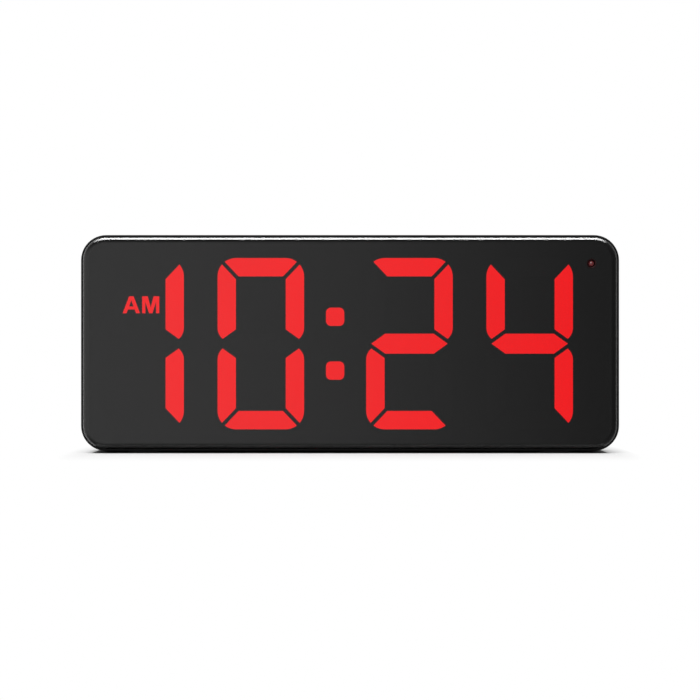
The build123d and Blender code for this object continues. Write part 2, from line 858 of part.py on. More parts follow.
# Back cover: a tray with pockets for the stand, the cell and the plug
with BuildPart() as back_cover:
    with BuildSketch(facing_front(parting_y)):
        RectangleRounded(case_width, case_height, corner_radius)
    extrude(amount=-(back_y - parting_y))
    fillet(back_cover.faces().sort_by(Axis.Y)[-1].edges(), back_edge_radius)
    with BuildSketch(facing_front(parting_y)):
        RectangleRounded(inner_width, inner_height, inner_radius)
    extrude(amount=-(cover_floor_y - parting_y), mode=Mode.SUBTRACT)
    with BuildSketch(facing_front(parting_y)):
        RectangleRounded(rebate_width, rebate_height, rebate_radius)
    extrude(amount=-(tongue_height + tongue_gap), mode=Mode.SUBTRACT)
    # Posts for the case screws
    with BuildSketch(facing_front(parting_y)):
        with Locations(*case_screw_places):
            Circle(post_radius)
    extrude(amount=-(cover_floor_y - parting_y))
    # Tub behind the stand, with a deeper trough and lugs at its hinge
    with BuildSketch(facing_front(cover_floor_y)):
        with Locations((0, (pocket_top + pocket_bottom) / 2)):
            Rectangle(pocket_width + 2 * tub_wall, pocket_top - pocket_bottom + 2 * tub_wall)
        with Locations((0, pocket_bottom)):
            Circle(notch_radius + tub_wall)
    extrude(amount=cover_floor_y - pocket_floor_y + tub_wall)
    with BuildSketch(facing_front(cover_floor_y)):
        with Locations((0, hinge_z)):
            Rectangle(pocket_width + 2 * hinge_lug, trough_height + 2 * tub_wall)
    extrude(amount=cover_floor_y - trough_floor_y + tub_wall)
    # Box around the cell's bay
    with BuildSketch(facing_front(cover_floor_y)):
        with Locations(door_place):
            Rectangle(door_width + 2 * (door_gap + tub_wall), door_height + 2 * (door_gap + tub_wall))
    extrude(amount=cover_floor_y - bay_floor_y + tub_wall)
    # Block that guides the buttons, and frames round the keyholes
    with BuildSketch(facing_front(cover_floor_y)):
        with Locations(button_places[1]):
            Rectangle(2 * (button_pitch + guide_reach), 2 * guide_reach)
        with Locations(*button_places):
            Circle(button_flange_radius + button_gap, mode=Mode.SUBTRACT)
    extrude(amount=guide_height)
    with BuildSketch(facing_front(cover_floor_y)):
        with Locations(*[(x, z + keyhole_frame_rise) for x, z in keyhole_places]):
            Rectangle(2 * (keyhole_head_radius + keyhole_frame), keyhole_length + 2 * keyhole_frame)
    extrude(amount=keyhole_frame_height)
    # Openings cut from the back
    with BuildSketch(facing_front(back_y)):
        with Locations((0, (pocket_top + pocket_bottom) / 2)):
            RectangleRounded(pocket_width, pocket_top - pocket_bottom, pocket_radius)
        with Locations((0, pocket_bottom)):
            Circle(notch_radius)
    extrude(amount=pocket_depth, mode=Mode.SUBTRACT)
    with BuildSketch(facing_front(back_y)):
        with Locations((0, hinge_z)):
            Rectangle(pocket_width, trough_height)
    extrude(amount=back_y - trough_floor_y, mode=Mode.SUBTRACT)
    with BuildSketch(across(-pocket_width / 2 - hinge_pin_reach)):
        with Locations((hinge_y, hinge_z)):
            Circle(hinge_pin_radius + hinge_pin_gap)
    extrude(amount=pocket_width + 2 * hinge_pin_reach, mode=Mode.SUBTRACT)
    with BuildSketch(facing_front(back_y)):
        with Locations(door_place):
            RectangleRounded(door_width + 2 * door_gap, door_height + 2 * door_gap, door_radius + door_gap)
    extrude(amount=back_y - door_seat_y, mode=Mode.SUBTRACT)
    with BuildSketch(facing_front(back_y)):
        with Locations((bay_x, door_hinge_z)):
            Rectangle(door_width + 2 * door_gap, 2 * (door_barrel_radius + door_gap))
    extrude(amount=back_y - door_hinge_y + door_barrel_radius + door_gap, mode=Mode.SUBTRACT)
    with BuildSketch(across(bay_x - door_width / 2 - door_pin_reach - door_pin_gap)):
        with Locations((door_hinge_y, door_hinge_z)):
            Circle(door_pin_radius + door_pin_gap)
    extrude(amount=door_width + 2 * (door_pin_reach + door_pin_gap), mode=Mode.SUBTRACT)
    with BuildSketch(facing_front(back_y)):
        with Locations((bay_x, door_top)):
            SlotOverall(door_grip_width, 2 * door_grip_height)
    extrude(amount=door_grip_depth, mode=Mode.SUBTRACT)
    with BuildSketch(facing_front(door_seat_y)):
        with Locations(door_place):
            Circle(bay_radius)
    extrude(amount=door_seat_y - bay_floor_y, mode=Mode.SUBTRACT)
    with BuildSketch(facing_front(door_seat_y)):
        with Locations(positive_place):
            Rectangle(contact_thickness + 2 * contact_gap, contact_width + 2 * contact_gap)
    extrude(amount=door_seat_y - bay_floor_y + tub_wall, mode=Mode.SUBTRACT)
    with BuildSketch(facing_front(bay_floor_y)):
        with Locations(negative_place):
            Rectangle(contact_width + 2 * contact_gap, contact_thickness + 2 * contact_gap)
    extrude(amount=tub_wall, mode=Mode.SUBTRACT)
    with BuildSketch(facing_front(back_y)):
        with Locations(button_places[1]):
            SlotOverall(2 * (button_pitch + button_pocket_margin), button_pocket_height)
    extrude(amount=button_pocket_depth, mode=Mode.SUBTRACT)
    with BuildSketch(facing_front(back_y)):
        with Locations((inlet_x, inlet_z)):
            RectangleRounded(plug_recess_width, plug_recess_height, plug_recess_radius)
    extrude(amount=plug_recess_depth, mode=Mode.SUBTRACT)
    with BuildSketch(facing_front(back_y)):
        with Locations(*button_places):
            Circle(button_radius + button_gap)
        with Locations((inlet_x, inlet_z)):
            SlotOverall(inlet_width + 2 * inlet_gap, inlet_height + 2 * inlet_gap)
        with Locations(buzzer_place):
            with GridLocations(0, sound_slot_pitch, 1, sound_slot_count):
                Rectangle(sound_slot_length, sound_slot_width)
    extrude(amount=back_wall, mode=Mode.SUBTRACT)
    with BuildSketch(facing_front(back_y)):
        draw_keyholes()
    extrude(amount=back_wall + keyhole_frame_height, mode=Mode.SUBTRACT)
    with BuildSketch(facing_front(back_y)):
        with Locations(*case_screw_places):
            Circle(screw_head_radius + counterbore_gap)
    extrude(amount=back_y - case_screw_seat_y, mode=Mode.SUBTRACT)
    with BuildSketch(facing_front(case_screw_seat_y)):
        with Locations(*case_screw_places):
            Circle(screw_radius + screw_gap)
    extrude(amount=screw_floor, mode=Mode.SUBTRACT)
    with BuildSketch(Plane.XY.offset(foot_proud)):
        with Locations((-foot_x, rear_foot_y), (foot_x, rear_foot_y)):
            SlotOverall(foot_length, foot_width)
    extrude(amount=foot_sink, mode=Mode.SUBTRACT)
save(back_cover, "back_cover")

# Fold-out stand: a plate on a barrel that turns on its pin, with a rubber tip
with BuildPart() as stand_leg:
    with BuildSketch(across(-leg_width / 2)):
        with Locations(((leg_inner_y + leg_outer_y) / 2, hinge_z - leg_length / 2)):
            Rectangle(leg_thickness, leg_length)
        with Locations((hinge_y, hinge_z)):
            Circle(hinge_barrel_radius)
    extrude(amount=leg_width)
    fillet(stand_leg.edges().filter_by(Axis.Y).group_by(Axis.Z)[0], leg_corner_radius)
    with BuildSketch(across(-leg_width / 2)):
        with Locations((hinge_y, hinge_z)):
            Circle(hinge_pin_radius + hinge_pin_gap)
    extrude(amount=leg_width, mode=Mode.SUBTRACT)
    with BuildSketch(facing_front(leg_outer_y)):
        with Locations((0, (panel_top + panel_bottom) / 2)):
            RectangleRounded(panel_width, panel_top - panel_bottom, leg_corner_radius - leg_border / 2)
    extrude(amount=leg_recess_depth, mode=Mode.SUBTRACT)
    with BuildSketch(facing_front(leg_outer_y)):
        with Locations((0, leg_bottom + pad_height / 2)):
            Rectangle(pad_width, pad_height)
    extrude(amount=leg_thickness, mode=Mode.SUBTRACT)
save(stand_leg, "stand_leg")

with BuildPart() as stand_pad:
    with BuildSketch(facing_front(leg_outer_y)):
        with Locations((0, leg_bottom + pad_height / 2)):
            Rectangle(pad_width, pad_height)
    extrude(amount=leg_thickness)
save(stand_pad, "stand_pad")

with BuildPart() as stand_pin:
    with BuildSketch(across(-pocket_width / 2 - hinge_pin_reach)):
        with Locations((hinge_y, hinge_z)):
            Circle(hinge_pin_radius)
    extrude(amount=pocket_width + 2 * hinge_pin_reach)
save(stand_pin, "stand_pin")

# Three buttons, each a cap on a flange and stem that bears on its switch's plunger
flange_top_y = cover_floor_y - button_gap
flange_bottom_y = flange_top_y - button_flange_thickness
plunger_top_y = flange_bottom_y - button_stem_length
plunger_base_y = board_back_y + switch_height - plunger_sunk
for name, place in zip(("set", "down", "up"), button_places):
    with BuildPart() as button:
        with BuildSketch(facing_front(back_y - button_sink)):
            with Locations(place):
                Circle(button_radius)
        extrude(amount=back_y - button_sink - flange_top_y)
        chamfer(button.faces().sort_by(Axis.Y)[-1].edges(), button_edge_cut)
        with BuildSketch(facing_front(flange_top_y)):
            with Locations(place):
                Circle(button_flange_radius)
        extrude(amount=button_flange_thickness)
        with BuildSketch(facing_front(flange_bottom_y)):
            with Locations(place):
                Circle(button_stem_radius)
        extrude(amount=button_stem_length)
    save(button, name + "_button")
    with BuildPart() as plunger:
        with BuildSketch(facing_front(plunger_top_y)):
            with Locations(place):
                Circle(plunger_radius)
        extrude(amount=plunger_top_y - plunger_base_y)
    save(plunger, name + "_plunger")

with BuildPart() as button_switches:
    with BuildSketch(facing_front(board_back_y)):
        with Locations(*button_places):
            Rectangle(switch_size, switch_size)
    extrude(amount=-switch_height)
    with BuildSketch(facing_front(board_back_y + switch_height)):
        with Locations(*button_places):
            Circle(plunger_radius + plunger_gap)
    extrude(amount=plunger_sunk + button_travel + button_gap, mode=Mode.SUBTRACT)
save(button_switches, "button_switches")

# Power inlet: a metal shell round an insert with a contact tongue, on its own small board
inlet_back_y = inlet_mouth_y - inlet_length
power_board_z = inlet_z - inlet_height / 2 - power_board_thickness / 2
with BuildPart() as power_inlet:
    with BuildSketch(facing_front(inlet_mouth_y)):
        with Locations((inlet_x, inlet_z)):
            SlotOverall(inlet_width, inlet_height)
            SlotOverall(inlet_width - 2 * inlet_wall, inlet_height - 2 * inlet_wall, mode=Mode.SUBTRACT)
    extrude(amount=inlet_length)
save(power_inlet, "power_inlet")

with BuildPart() as inlet_insert:
    with BuildSketch(facing_front(inlet_back_y)):
        with Locations((inlet_x, inlet_z)):
            SlotOverall(inlet_width - 2 * inlet_wall, inlet_height - 2 * inlet_wall)
    extrude(amount=-insert_back)
    with BuildSketch(facing_front(inlet_mouth_y - contact_tongue_setback)):
        with Locations((inlet_x, inlet_z)):
            Rectangle(contact_tongue_width, contact_tongue_thickness)
    extrude(amount=inlet_length - contact_tongue_setback)
save(inlet_insert, "inlet_insert")

with BuildPart() as power_board:
    with BuildSketch(facing_front(board_back_y)):
        with Locations((inlet_x, power_board_z)):
            Rectangle(power_board_width, power_board_thickness)
    extrude(amount=-(cover_floor_y - piece_gap - board_back_y))
save(power_board, "power_board")

# Coin cell, its contacts and the door over it
with BuildPart() as coin_cell:
    with BuildSketch(facing_front(cell_front_y)):
        with Locations(door_place):
            Circle(cell_radius)
    extrude(amount=-cell_thickness)
    chamfer(coin_cell.faces().sort_by(Axis.Y)[-1].edges(), cell_edge_cut)
save(coin_cell, "coin_cell")

with BuildPart() as battery_contacts:
    with BuildSketch(facing_front(cell_front_y)):
        with Locations(door_place):
            Rectangle(contact_width, 2 * contact_offset + contact_thickness)
    extrude(amount=contact_thickness)
    with BuildSketch(facing_front(bay_floor_y)):
        with Locations(negative_place):
            Rectangle(contact_width, contact_thickness)
    extrude(amount=bay_floor_y - board_back_y)
    with BuildSketch(facing_front(cell_front_y + cell_thickness - cell_edge_cut)):
        with Locations(positive_place):
            Rectangle(contact_thickness, contact_width)
    extrude(amount=cell_front_y + cell_thickness - cell_edge_cut - board_back_y)
save(battery_contacts, "battery_contacts")

with BuildPart() as battery_door:
    with BuildSketch(facing_front(back_y)) as plate:
        with Locations((bay_x, (door_hinge_z + door_top) / 2)):
            Rectangle(door_width, door_top - door_hinge_z)
        fillet(plate.vertices().group_by(Axis.Y)[-1], door_radius)
    extrude(amount=door_thickness)
    with BuildSketch(across(bay_x - door_width / 2)):
        with Locations((door_hinge_y, door_hinge_z)):
            Circle(door_barrel_radius)
    extrude(amount=door_width)
    with BuildSketch(across(bay_x - door_width / 2 - door_pin_reach)):
        with Locations((door_hinge_y, door_hinge_z)):
            Circle(door_pin_radius)
    extrude(amount=door_width + 2 * door_pin_reach)
    with BuildSketch(facing_front(back_y)):
        with Locations((bay_x, door_top - door_rib_setback)):
            with GridLocations(0, door_rib_pitch, 1, door_rib_count):
                Rectangle(door_grip_width, door_rib_width)
    extrude(amount=door_rib_depth, mode=Mode.SUBTRACT)
save(battery_door, "battery_door")

# Sounder on the back of the board
with BuildPart() as buzzer:
    with BuildSketch(facing_front(board_back_y)):
        with Locations(buzzer_place):
            Circle(buzzer_radius)
    extrude(amount=-buzzer_height)
    with BuildSketch(facing_front(board_back_y + buzzer_height)):
        with Locations(buzzer_place):
            Circle(buzzer_port_radius)
    extrude(amount=buzzer_height / 2, mode=Mode.SUBTRACT)
save(buzzer, "buzzer")


def chip(places, size_x, size_z, height, legs_x, legs_z):
    """Flat chips on the board's back, with rows of legs along their upright and level sides."""
    with BuildPart() as chips:
        with BuildSketch(facing_front(board_back_y)):
            with Locations(*places):
                Rectangle(size_x, size_z)
        extrude(amount=-height)
        with BuildSketch(facing_front(board_back_y)):
            with Locations(*places):
                if legs_x:
                    with GridLocations(size_x + chip_leg_length, chip_leg_pitch, 2, legs_x):
                        Rectangle(chip_leg_length, chip_leg_width)
                if legs_z:
                    with GridLocations(chip_leg_pitch, size_z + chip_leg_length, legs_z, 2):
                        Rectangle(chip_leg_width, chip_leg_length)
        extrude(amount=-chip_leg_height)
    return chips


# Chips, crystal and capacitors on the back of the board
controller_leg_count = int((controller_size - chip_leg_pitch) / chip_leg_pitch)
driver_leg_count = int((driver_length - chip_leg_pitch) / chip_leg_pitch)
driver_places = [(driver_x, -driver_pitch / 2), (driver_x, driver_pitch / 2)]
controller_place = (controller_x, controller_rise)
controller_legs = (controller_leg_count, controller_leg_count)
driver_legs = (0, driver_leg_count)
controller_chip = chip([controller_place], controller_size, controller_size, controller_height, *controller_legs)
save(controller_chip, "controller_chip")
driver_chips = chip(driver_places, driver_length, driver_width, driver_height, *driver_legs)
save(driver_chips, "driver_chips")

with BuildPart() as clock_crystal:
    with BuildSketch(facing_front(board_back_y)):
        with Locations((crystal_x, controller_rise)):
            SlotOverall(crystal_length, crystal_width, rotation=90)
    extrude(amount=-crystal_height)
save(clock_crystal, "clock_crystal")

with BuildPart() as capacitors:
    with BuildSketch(facing_front(board_back_y)):
        with Locations((inlet_x + capacitor_offset, inlet_z)):
            with GridLocations(capacitor_pitch, 0, 2, 1):
                Circle(capacitor_radius)
    extrude(amount=-capacitor_height)
save(capacitors, "capacitors")
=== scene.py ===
"""Finishes, lights and camera for the desk clock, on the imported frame. Metres."""
import json
import math

import bmesh
import bpy
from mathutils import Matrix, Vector


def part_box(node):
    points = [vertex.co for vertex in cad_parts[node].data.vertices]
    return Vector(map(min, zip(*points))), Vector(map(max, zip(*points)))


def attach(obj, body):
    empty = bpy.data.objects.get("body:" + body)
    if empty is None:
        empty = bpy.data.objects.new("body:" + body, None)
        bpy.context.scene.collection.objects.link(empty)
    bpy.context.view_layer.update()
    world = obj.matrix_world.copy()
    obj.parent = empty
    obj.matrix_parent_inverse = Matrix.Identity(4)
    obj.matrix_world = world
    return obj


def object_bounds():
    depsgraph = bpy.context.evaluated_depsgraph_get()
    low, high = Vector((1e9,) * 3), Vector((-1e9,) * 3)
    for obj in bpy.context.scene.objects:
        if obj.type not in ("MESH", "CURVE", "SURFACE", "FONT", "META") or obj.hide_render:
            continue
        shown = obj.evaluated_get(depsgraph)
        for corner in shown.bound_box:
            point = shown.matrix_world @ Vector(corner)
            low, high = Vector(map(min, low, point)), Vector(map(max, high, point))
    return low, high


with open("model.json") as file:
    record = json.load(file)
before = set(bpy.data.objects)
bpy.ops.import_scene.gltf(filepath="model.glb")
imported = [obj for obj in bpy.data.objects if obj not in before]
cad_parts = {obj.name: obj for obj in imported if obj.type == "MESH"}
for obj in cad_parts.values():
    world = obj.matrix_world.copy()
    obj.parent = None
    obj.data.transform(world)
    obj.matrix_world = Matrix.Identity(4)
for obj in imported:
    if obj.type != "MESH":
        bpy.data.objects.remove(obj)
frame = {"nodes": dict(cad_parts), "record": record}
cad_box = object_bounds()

MM = 0.001
nodes = frame["nodes"]
scene = bpy.context.scene


# Shader node helpers, where the owner of the nodes is a material, the world or a lamp
def add_node(owner, kind, **settings):
    """A node of that kind with its properties set."""
    node = owner.node_tree.nodes.new("ShaderNode" + kind)
    for name, value in settings.items():
        setattr(node, name, value)
    return node


def link(owner, source, target):
    """Join an output to an input."""
    owner.node_tree.links.new(source, target)


def grey(level):
    """The colour of a grey level."""
    return (level, level, level)


def grey_stops(stops):
    """Stops of a ramp in grey, from pairs of a place and a level."""
    return [(place, grey(level)) for place, level in stops]


def add_ramp(owner, source, stops):
    """A colour that follows a source, from stops of a place and a colour each."""
    ramp = add_node(owner, "ValToRGB")
    elements = ramp.color_ramp.elements
    while len(elements) < len(stops):
        elements.new(0.5)
    for stop, (place, colour) in zip(elements, stops):
        stop.position = place
        stop.color = (*colour, 1)
    link(owner, source, ramp.inputs["Fac"])
    return ramp.outputs["Color"]


def add_range(owner, source, span, result=(0, 1), **settings):
    """A number that goes from one result to the other as a source crosses a span."""
    node = add_node(owner, "MapRange", **settings)
    node.inputs["From Min"].default_value, node.inputs["From Max"].default_value = span
    node.inputs["To Min"].default_value, node.inputs["To Max"].default_value = result
    link(owner, source, node.inputs["Value"])
    return node.outputs["Result"]


def add_math(owner, operation, *sources):
    """A number worked out from one or two sources."""
    node = add_node(owner, "Math", operation=operation)
    for source, socket in zip(sources, node.inputs):
        link(owner, source, socket)
    return node.outputs["Value"]


def add_vector(owner, operation, source, second=(0, 0, 0)):
    """A vector, or its length, worked out from a source and a plain vector."""
    node = add_node(owner, "VectorMath", operation=operation)
    node.inputs[1].default_value = second
    link(owner, source, node.inputs[0])
    return node.outputs["Value" if operation == "LENGTH" else "Vector"]


def ray_kinds(owner):
    """Whether a ray comes from the camera, and whether it comes from a shiny or clear surface."""
    rays = add_node(owner, "LightPath").outputs
    shiny = add_math(owner, "MAXIMUM", rays["Is Glossy Ray"], rays["Is Transmission Ray"])
    return rays["Is Camera Ray"], shiny


# Patterns for materials
noise_span = (0.3, 0.7)


def new_material(name):
    """A node material and its Principled shader."""
    material = bpy.data.materials.new(name)
    material.use_nodes = True
    return material, material.node_tree.nodes["Principled BSDF"]


def own_place(material, stretch=(1, 1, 1)):
    """The surface's place in its object's own frame, stretched along each axis."""
    place = add_node(material, "TexCoord")
    mapping = add_node(material, "Mapping")
    mapping.inputs["Scale"].default_value = stretch
    link(material, place.outputs["Object"], mapping.inputs["Vector"])
    return mapping.outputs["Vector"]


def noise(material, grain, detail=2.0, stretch=(1, 1, 1)):
    """Noise whose lumps are about one grain across."""
    texture = add_node(material, "TexNoise")
    texture.inputs["Scale"].default_value = 1 / grain
    texture.inputs["Detail"].default_value = detail
    link(material, own_place(material, stretch), texture.inputs["Vector"])
    return texture.outputs["Fac"]


def vary(material, source, target, middle, drift):
    """Let a number drift to either side of its middle by a pattern."""
    link(material, add_range(material, source, noise_span, (middle - drift, middle + drift)), target)


def tint(material, source, target, dark, light, span=noise_span):
    """Drive a colour between two tones by a pattern."""
    link(material, add_ramp(material, source, tuple(zip(span, (dark, light)))), target)


def emboss(material, shader, source, depth, edge=0):
    """Raise the surface by a pattern, by a depth, and round its edges by a radius."""
    bump = add_node(material, "Bump")
    bump.inputs["Distance"].default_value = depth
    link(material, source, bump.inputs["Height"])
    link(material, bump.outputs["Normal"], shader.inputs["Normal"])
    if edge:
        rounding = add_node(material, "Bevel", samples=6)
        rounding.inputs["Radius"].default_value = edge
        link(material, rounding.outputs["Normal"], bump.inputs["Normal"])


# Materials, one function for each kind
def plastic(name, dark, light, rough, grain=0.25 * MM, depth=0.01 * MM, edge=0.2 * MM, gloss=0.5):
    """Moulded plastic: a fine eroded texture and a faint drift in tone and gloss."""
    drift_grain = 9 * MM
    rough_drift = 0.04
    material, shader = new_material(name)
    drift = noise(material, drift_grain, detail=3)
    tint(material, drift, shader.inputs["Base Color"], dark, light)
    vary(material, drift, shader.inputs["Roughness"], rough, rough_drift)
    shader.inputs["Specular IOR Level"].default_value = gloss
    emboss(material, shader, noise(material, grain), depth, edge)
    return material


def metal(name, colour, rough, stretch=(1, 1, 1)):
    """Bare or plated metal with fine marks, drawn out where it is stretched."""
    mark_grain = 0.4 * MM
    mark_depth = 0.004 * MM
    mark_tone = 0.8
    rough_drift = 0.06
    material, shader = new_material(name)
    shader.inputs["Metallic"].default_value = 1
    marks = noise(material, mark_grain, detail=4, stretch=stretch)
    tint(material, marks, shader.inputs["Base Color"], [mark_tone * level for level in colour], colour)
    vary(material, marks, shader.inputs["Roughness"], rough, rough_drift)
    emboss(material, shader, marks, mark_depth)
    return material


def segment(name, dark, light, glow=grey(1.0), strength=0):
    """Milky diffuser plastic, lit from behind where its glow has a strength."""
    cloud_grain = 1.5 * MM
    material, shader = new_material(name)
    tint(material, noise(material, cloud_grain, detail=3), shader.inputs["Base Color"], dark, light)
    shader.inputs["Roughness"].default_value = 0.5
    shader.inputs["Emission Color"].default_value = (*glow, 1)
    shader.inputs["Emission Strength"].default_value = strength
    return material


def printed_film():
    """Black ink on a film, a shade uneven, with no texture that would show through the lens."""
    ink_grain = 6 * MM
    material, shader = new_material("black_film")
    ink = noise(material, ink_grain, detail=3)
    tint(material, ink, shader.inputs["Base Color"], grey(0.006), grey(0.007))
    shader.inputs["Roughness"].default_value = 0.7
    shader.inputs["Specular IOR Level"].default_value = 0.2
    return material


def smoked_lens():
    """Polished smoked acrylic whose tint drifts faintly across the sheet."""
    drift_grain = 40 * MM
    dark = (0.098, 0.098, 0.1)
    light = (0.102, 0.102, 0.104)
    material, shader = new_material("smoked_lens")
    tint(material, noise(material, drift_grain), shader.inputs["Base Color"], dark, light)
    shader.inputs["Transmission Weight"].default_value = 1
    shader.inputs["IOR"].default_value = 1.49
    shader.inputs["Roughness"].default_value = 0
    return material


def circuit_board():
    """Green solder mask that rises over winding copper lines."""
    bare = (0.008, 0.1, 0.04)
    copper = (0.02, 0.19, 0.075)
    line_edges = (0.45, 0.55)
    line_rise = 0.03 * MM
    material, shader = new_material("circuit_board")
    bands = add_node(material, "TexWave", bands_direction="X")
    bands.inputs["Scale"].default_value = 160
    bands.inputs["Distortion"].default_value = 9
    bands.inputs["Detail Scale"].default_value = 0.4
    link(material, own_place(material), bands.inputs["Vector"])
    lines = bands.outputs["Fac"]
    tint(material, lines, shader.inputs["Base Color"], bare, copper, line_edges)
    shader.inputs["Roughness"].default_value = 0.35
    emboss(material, shader, lines, line_rise)
    return material


def sensor_dome():
    """Tinted clear plastic, darker along its axis: painted shade for the depth the eye looks into there."""
    # The darker tone at the centre is painted shade; the paler tone at the edge is the plastic's tint
    painted_axis_shade = (0.1, 0.004, 0.008)
    shallow = (0.27, 0.055, 0.06)
    fade_radii = (0.15 * MM, 0.8 * MM)
    material, shader = new_material("sensor_dome")
    place = add_node(material, "TexCoord").outputs["Object"]
    away = add_vector(material, "SUBTRACT", place, sensor_axis)
    flat = add_vector(material, "MULTIPLY", away, (1, 0, 1))
    reach = add_range(material, add_vector(material, "LENGTH", flat), fade_radii)
    tint(material, reach, shader.inputs["Base Color"], painted_axis_shade, shallow, (0, 1))
    shader.inputs["Roughness"].default_value = 0.12
    return material


sensor_low, sensor_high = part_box("light_sensor")
sensor_axis = (sensor_low + sensor_high) / 2
plastics = {
    "housing": dict(
        dark=(0.009, 0.009, 0.0094),
        light=(0.0115, 0.0115, 0.012),
        rough=0.45,
        grain=0.3 * MM,
        depth=0.015 * MM,
        gloss=0.3,
    ),
    # Darker than the housing plastic: painted shade on the front frame's rim
    "front_frame": dict(dark=(0.0068, 0.0068, 0.0072), light=(0.0086, 0.0086, 0.009), rough=0.4, gloss=0.14),
    "foam_tape": dict(dark=grey(0.008), light=grey(0.02), rough=0.9, grain=0.4 * MM, depth=0.08 * MM),
    "white_moulding": dict(dark=(0.72, 0.72, 0.7), light=(0.8, 0.8, 0.78), rough=0.5),
    "led_package": dict(dark=(0.7, 0.68, 0.5), light=(0.8, 0.78, 0.62), rough=0.3),
    "black_moulding": dict(dark=grey(0.018), light=grey(0.026), rough=0.5),
    "rubber": dict(dark=grey(0.014), light=grey(0.024), rough=0.8, grain=0.5 * MM, depth=0.03 * MM),
    "button_cap": dict(dark=(0.02, 0.02, 0.021), light=(0.026, 0.026, 0.027), rough=0.35),
    "chip_package": dict(dark=(0.022, 0.022, 0.023), light=(0.03, 0.03, 0.031), rough=0.55),
    "sensor_bezel": dict(
        dark=(0.018, 0.001, 0.0014),
        light=(0.026, 0.0016, 0.002),
        rough=0.4,
        edge=0,
        gloss=0.2,
    ),
}
metals = {
    "screw_steel": dict(colour=(0.6, 0.6, 0.62), rough=0.32),
    "plated_steel": dict(colour=(0.72, 0.71, 0.69), rough=0.22),
    "cell_steel": dict(colour=(0.68, 0.68, 0.67), rough=0.3, stretch=(1, 1, 8)),
    "contact_metal": dict(colour=(0.83, 0.68, 0.36), rough=0.28, stretch=(8, 1, 1)),
    "capacitor_can": dict(colour=(0.7, 0.7, 0.71), rough=0.35, stretch=(1, 6, 1)),
}
segments = {
    "lit_segment": dict(
        dark=(0.3, 0.006, 0.008),
        light=(0.36, 0.01, 0.012),
        glow=(1.0, 0.0012, 0.0045),
        strength=9.0,
    ),
    "dark_segment": dict(dark=(0.012, 0.008, 0.008), light=(0.02, 0.012, 0.012)),
}
finishes = {
    "smoked_lens": smoked_lens(),
    "black_film": printed_film(),
    "circuit_board": circuit_board(),
    "sensor_dome": sensor_dome(),
}
for make, table in ((plastic, plastics), (metal, metals), (segment, segments)):
    for finish_name, values in table.items():
        finishes[finish_name] = make(finish_name, **values)

for part in frame["record"]["subparts"]:
    nodes[part["node"]].data.materials[0] = finishes[part["material_slot"]]
# The front frame is moulded smoother than the back; its deeper black is painted shade that keeps the rim
# round the lens dark
nodes["front_frame"].data.materials[0] = finishes["front_frame"]


to_front = -1
to_back = 1


def flat_piece(name, outlines, place, facing, thickness, slot, body):
    """A flat piece cut from outlines of (across, up) points, facing to the front or to the back."""
    curve = bpy.data.curves.new(name, "CURVE")
    curve.dimensions = "2D"
    curve.fill_mode = "BOTH"
    curve.extrude = thickness / 2
    for outline in outlines:
        spline = curve.splines.new("POLY")
        spline.points.add(len(outline) - 1)
        for point, (across, up) in zip(spline.points, outline):
            point.co = (across, up, 0, 1)
        spline.use_cyclic_u = True
    curve.materials.append(finishes[slot])
    piece = bpy.data.objects.new(name, curve)
    scene.collection.objects.link(piece)
    piece.location = place
    piece.rotation_euler = (-facing * math.radians(90), 0, 0)
    bpy.context.view_layer.update()
    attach(piece, body)


# Letters of the morning sign, as shares of each letter's width and of the letters' height
letter_foot = (0, -10.55 * MM, 62.33 * MM)
letter_depth = 0.12 * MM
letter_height = 7.55 * MM
letter_starts = (-101.4 * MM, -92.7 * MM)
letter_widths = (7.7 * MM, 7.6 * MM)
letter_shares = (
    (
        [(0, 0), (0.375, 1), (0.63, 1), (1, 0), (0.78, 0), (0.695, 0.225), (0.305, 0.225), (0.22, 0)],
        [(0.375, 0.4), (0.625, 0.4), (0.5, 0.77)],
    ),
    (
        [
            *((0, 0), (0, 1), (0.33, 1), (0.5, 0.34), (0.67, 1), (1, 1), (1, 0)),
            *((0.815, 0), (0.815, 0.68), (0.6, 0), (0.4, 0), (0.185, 0.68), (0.185, 0)),
        ],
    ),
)
letters = [
    [(start + across * width, up * letter_height) for across, up in outline]
    for start, width, outlines in zip(letter_starts, letter_widths, letter_shares)
    for outline in outlines
]
flat_piece("meridiem_letters", letters, letter_foot, to_front, letter_depth, "lit_segment", "case")


# Raised marks on the buttons: a ring, a minus and a plus
def circle(radius, points=48):
    """Points round a circle."""
    angles = [2 * math.pi * step / points for step in range(points)]
    return [(radius * math.cos(angle), radius * math.sin(angle)) for angle in angles]


mark_rise = 0.08 * MM
mark_depth = 0.2 * MM
arm = 1.5 * MM
half = 0.25 * MM
minus = [(-arm, -half), (arm, -half), (arm, half), (-arm, half)]
plus = [
    *((-arm, -half), (-half, -half), (-half, -arm), (half, -arm), (half, -half), (arm, -half)),
    *((arm, half), (half, half), (half, arm), (-half, arm), (-half, half), (-arm, half)),
]
button_marks = {"set": [circle(arm), circle(arm - 2 * half)], "down": [minus], "up": [plus]}
for key_name, outlines in button_marks.items():
    low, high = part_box(key_name + "_button")
    place = ((low[0] + high[0]) / 2, high[1] + mark_rise - mark_depth / 2, (low[2] + high[2]) / 2)
    flat_piece(key_name + "_mark", outlines, place, to_back, mark_depth, "white_moulding", key_name + "_key")


